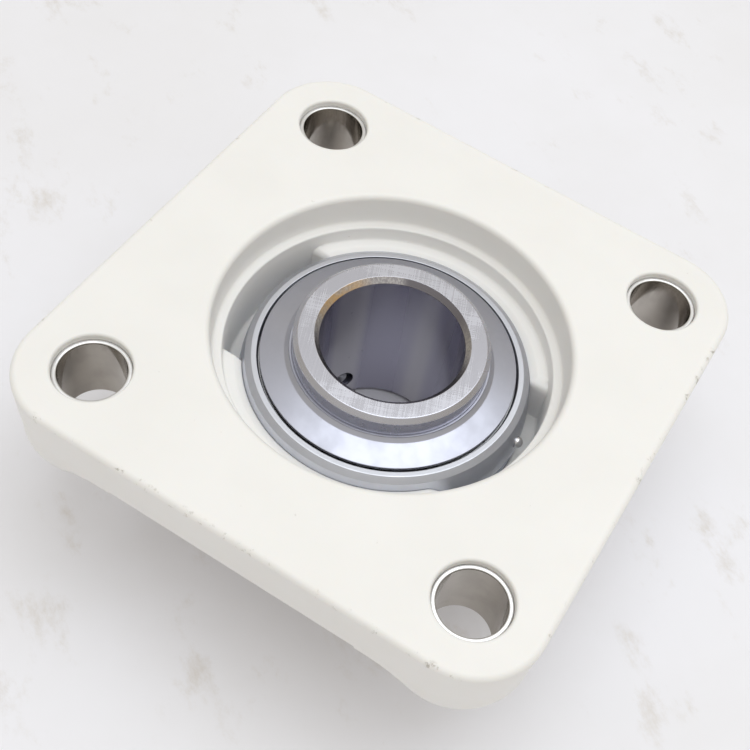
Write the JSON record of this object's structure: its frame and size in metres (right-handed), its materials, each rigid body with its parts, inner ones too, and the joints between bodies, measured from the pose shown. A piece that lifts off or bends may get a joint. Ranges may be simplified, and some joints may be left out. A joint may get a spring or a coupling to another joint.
{
  "type": "flange mount bearing",
  "caption": "Square moulded flange housing with a self-aligning insert ball bearing, sleeved corner bolt holes and grub screws to lock the shaft.",
  "frame": {"origin": "on the bearing axis, at the inner ring's front end, the lowest point of the part as it lies on its front", "axes": "+Z along the bearing axis, out of the mounting face; X along the two loading slots, parallel to a side of the square"},
  "size_m": [0.095, 0.095, 0.0358],
  "materials": {
    "white_plastic": "fine moulded satin",
    "bushing_steel": "polished stainless",
    "ring_steel": "ground stainless",
    "pressed_steel": "satin pressed stainless",
    "plain_steel": "machined stainless",
    "ball_steel": "mirror polished",
    "seal_rubber": "matte nitrile rubber"
  },
  "bodies": {
    "housing": {"housing": "white_plastic", "bolt_bushing_1": "bushing_steel", "bolt_bushing_2": "bushing_steel", "bolt_bushing_3": "bushing_steel", "bolt_bushing_4": "bushing_steel", "grease_nipple": "plain_steel"},
    "swivel_pin": {"anti_rotation_pin": "ball_steel"},
    "outer_ring": {"outer_ring": "ring_steel", "seal_lip_back": "seal_rubber", "seal_lip_front": "seal_rubber", "seal_insert_back": "pressed_steel", "seal_insert_front": "pressed_steel"},
    "inner_ring": {"inner_ring": "ring_steel", "flinger_back": "pressed_steel", "flinger_front": "pressed_steel"},
    "cage": {"cage_half_back": "pressed_steel", "cage_half_front": "pressed_steel", "cage_rivet_1": "pressed_steel", "cage_rivet_2": "pressed_steel", "cage_rivet_3": "pressed_steel", "cage_rivet_4": "pressed_steel", "cage_rivet_5": "pressed_steel", "cage_rivet_6": "pressed_steel", "cage_rivet_7": "pressed_steel", "cage_rivet_8": "pressed_steel", "cage_rivet_9": "pressed_steel"},
    "ball_1": {"ball_1": "ball_steel"},
    "ball_2": {"ball_2": "ball_steel"},
    "ball_3": {"ball_3": "ball_steel"},
    "ball_4": {"ball_4": "ball_steel"},
    "ball_5": {"ball_5": "ball_steel"},
    "ball_6": {"ball_6": "ball_steel"},
    "ball_7": {"ball_7": "ball_steel"},
    "ball_8": {"ball_8": "ball_steel"},
    "ball_9": {"ball_9": "ball_steel"},
    "set_screw_1": {"set_screw_1": "plain_steel"},
    "set_screw_2": {"set_screw_2": "plain_steel"}
  },
  "joints": [
    {"name": "swivel_across_slots", "type": "hinge", "parent": "housing", "child": "swivel_pin", "pos_m": [0, 0, 0.0198], "axis": [-0.0698, 0.9976, 0], "range_deg": [-2.5, 2.5]},
    {"name": "swivel_about_pin", "type": "hinge", "parent": "swivel_pin", "child": "outer_ring", "pos_m": [0, 0, 0.0198], "axis": [0.9913, 0.0693, 0.1115], "range_deg": [-2.5, 2.5]},
    {"name": "inner_ring_spin", "type": "hinge", "parent": "outer_ring", "child": "inner_ring", "pos_m": [0, 0, 0.0198], "axis": [0, 0, 1], "continuous": true},
    {"name": "cage_spin", "type": "hinge", "parent": "outer_ring", "child": "cage", "pos_m": [0, 0, 0.0198], "axis": [0, 0, 1], "continuous": true},
    {"name": "ball_1_spin", "type": "hinge", "parent": "cage", "child": "ball_1", "pos_m": [0.0195, 0, 0.0198], "axis": [0, 0, 1], "continuous": true},
    {"name": "ball_2_spin", "type": "hinge", "parent": "cage", "child": "ball_2", "pos_m": [0.01494, 0.01253, 0.0198], "axis": [0, 0, 1], "continuous": true},
    {"name": "ball_3_spin", "type": "hinge", "parent": "cage", "child": "ball_3", "pos_m": [0.00339, 0.0192, 0.0198], "axis": [0, 0, 1], "continuous": true},
    {"name": "ball_4_spin", "type": "hinge", "parent": "cage", "child": "ball_4", "pos_m": [-0.00975, 0.01689, 0.0198], "axis": [0, 0, 1], "continuous": true},
    {"name": "ball_5_spin", "type": "hinge", "parent": "cage", "child": "ball_5", "pos_m": [-0.01832, 0.00667, 0.0198], "axis": [0, 0, 1], "continuous": true},
    {"name": "ball_6_spin", "type": "hinge", "parent": "cage", "child": "ball_6", "pos_m": [-0.01832, -0.00667, 0.0198], "axis": [0, 0, 1], "continuous": true},
    {"name": "ball_7_spin", "type": "hinge", "parent": "cage", "child": "ball_7", "pos_m": [-0.00975, -0.01689, 0.0198], "axis": [0, 0, 1], "continuous": true},
    {"name": "ball_8_spin", "type": "hinge", "parent": "cage", "child": "ball_8", "pos_m": [0.00339, -0.0192, 0.0198], "axis": [0, 0, 1], "continuous": true},
    {"name": "ball_9_spin", "type": "hinge", "parent": "cage", "child": "ball_9", "pos_m": [0.01494, -0.01253, 0.0198], "axis": [0, 0, 1], "continuous": true},
    {"name": "set_screw_1_travel", "type": "slide", "parent": "inner_ring", "child": "set_screw_1", "axis": [-0.891, 0.454, 0], "range_m": [-0.0009, 0.0025]},
    {"name": "set_screw_2_travel", "type": "slide", "parent": "inner_ring", "child": "set_screw_2", "axis": [0.0523, -0.9986, 0], "range_m": [-0.0009, 0.0025]}
  ],
  "couplings": [
    {"joint": "cage_spin", "follows": "inner_ring_spin", "ratio": 0.39823},
    {"joint": "ball_1_spin", "follows": "inner_ring_spin", "ratio": -2.3548},
    {"joint": "ball_2_spin", "follows": "inner_ring_spin", "ratio": -2.3548},
    {"joint": "ball_3_spin", "follows": "inner_ring_spin", "ratio": -2.3548},
    {"joint": "ball_4_spin", "follows": "inner_ring_spin", "ratio": -2.3548},
    {"joint": "ball_5_spin", "follows": "inner_ring_spin", "ratio": -2.3548},
    {"joint": "ball_6_spin", "follows": "inner_ring_spin", "ratio": -2.3548},
    {"joint": "ball_7_spin", "follows": "inner_ring_spin", "ratio": -2.3548},
    {"joint": "ball_8_spin", "follows": "inner_ring_spin", "ratio": -2.3548},
    {"joint": "ball_9_spin", "follows": "inner_ring_spin", "ratio": -2.3548}
  ]
}
